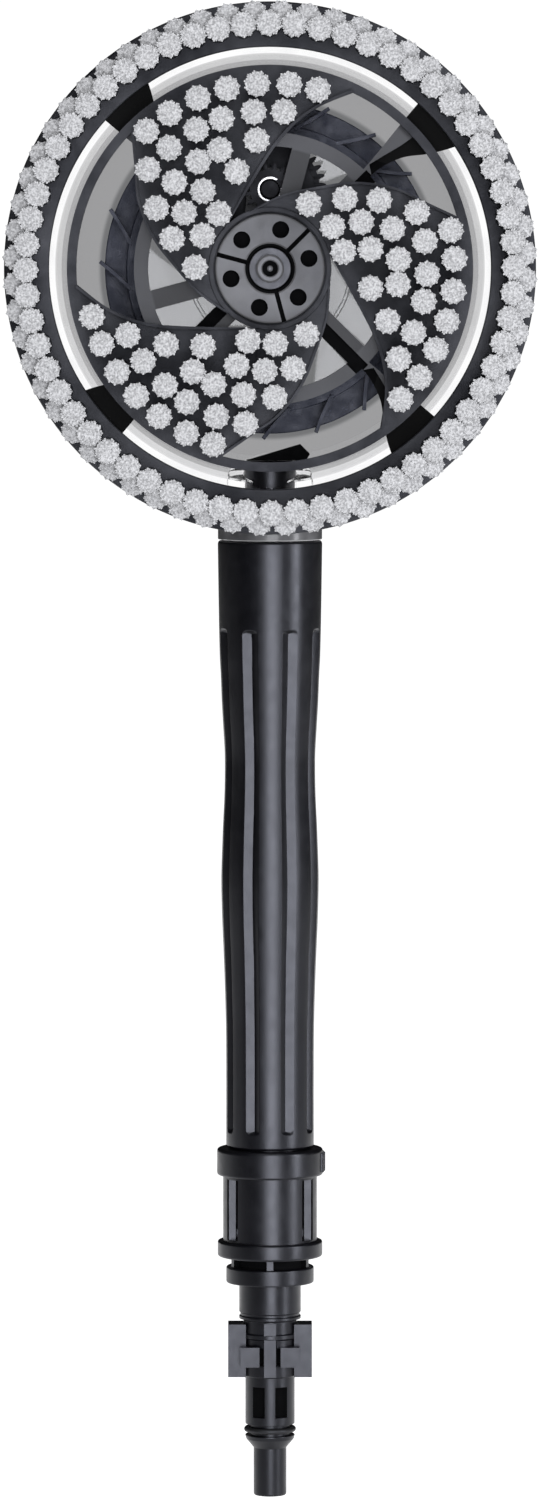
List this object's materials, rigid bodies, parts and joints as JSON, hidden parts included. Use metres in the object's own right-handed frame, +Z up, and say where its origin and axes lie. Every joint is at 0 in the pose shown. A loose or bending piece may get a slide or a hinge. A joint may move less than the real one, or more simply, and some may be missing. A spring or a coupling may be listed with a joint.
{
  "type": "rotary wash brush",
  "caption": "Water-driven rotary wash brush: round bristle head turned by a geared turbine in a clear housing, on a hollow grooved handle with a bayonet plug for a pressure washer gun.",
  "frame": {"origin": "centre of the open end of the bayonet plug, on the handle's axis", "axes": "+Z up along the handle from the plug to the head, bristles facing -Y, the brush axis parallel to Y"},
  "size_m": [0.1776, 0.0756, 0.5058],
  "materials": {
    "black_plastic": "satin moulded, slightly grained",
    "frame_plastic": "satin charcoal",
    "hub_plastic": "satin grey, fine grained",
    "clear_plastic": "clear glossy polycarbonate",
    "turbine_plastic": "dark blue-black, smooth",
    "gear_plastic": "black acetal",
    "bristle": "fine light grey filament",
    "rubber_seal": "smooth black",
    "steel": "bright turned steel",
    "bronze": "sintered bronze"
  },
  "bodies": {
    "handle": {"handle_grip": "black_plastic", "water_pipe": "black_plastic", "clear_housing": "clear_plastic", "inlet_tube": "black_plastic", "jet_nozzle": "black_plastic", "neck_seal": "rubber_seal", "handle_screw_1": "steel", "handle_screw_2": "steel", "main_shaft": "steel", "shaft_nut": "steel", "rear_cap": "black_plastic", "thrust_washer": "steel", "spacer_washer": "steel", "retaining_washer": "steel", "retaining_screw": "steel", "gear_plate": "frame_plastic", "idler_bush": "bronze", "adapter_plug": "black_plastic", "plug_o_ring": "rubber_seal", "adapter_seal": "rubber_seal"},
    "collar": {"coupling_collar": "black_plastic"},
    "turbine": {"turbine_wheel": "turbine_plastic", "turbine_pinion": "gear_plastic", "turbine_bush": "bronze"},
    "idler": {"idler_gear": "gear_plastic", "idler_pinion": "gear_plastic", "idler_circlip": "steel"},
    "brush": {"outer_ring": "black_plastic", "outer_bristles": "bristle", "inner_bristles": "bristle", "blade_disc": "black_plastic", "blade_bristles_1": "bristle", "blade_bristles_2": "bristle", "blade_bristles_3": "bristle", "carrier_frame": "frame_plastic", "hub_disc": "hub_plastic", "output_gear": "gear_plastic", "hub_bush": "bronze", "disc_screw_1": "steel", "disc_screw_2": "steel", "disc_screw_3": "steel", "drive_pin_1": "steel", "drive_pin_2": "steel", "drive_pin_3": "steel", "ring_screw_1": "steel", "ring_screw_2": "steel", "ring_screw_3": "steel", "ring_screw_4": "steel"}
  },
  "joints": [
    {"name": "brush_spin", "type": "hinge", "parent": "handle", "child": "brush", "pos_m": [0, 0, 0.417], "axis": [0, -1, 0], "continuous": true},
    {"name": "idler_spin", "type": "hinge", "parent": "handle", "child": "idler", "pos_m": [0, 0, 0.4435], "axis": [0, -1, 0], "continuous": true},
    {"name": "turbine_spin", "type": "hinge", "parent": "handle", "child": "turbine", "pos_m": [0, 0, 0.417], "axis": [0, -1, 0], "continuous": true},
    {"name": "collar_turn", "type": "hinge", "parent": "handle", "child": "collar", "pos_m": [0, 0, 0.1], "axis": [0, 0, 1], "range_deg": [0, 90]}
  ],
  "couplings": [
    {"joint": "idler_spin", "follows": "brush_spin", "ratio": -2.3125},
    {"joint": "turbine_spin", "follows": "brush_spin", "ratio": 4.8971}
  ]
}
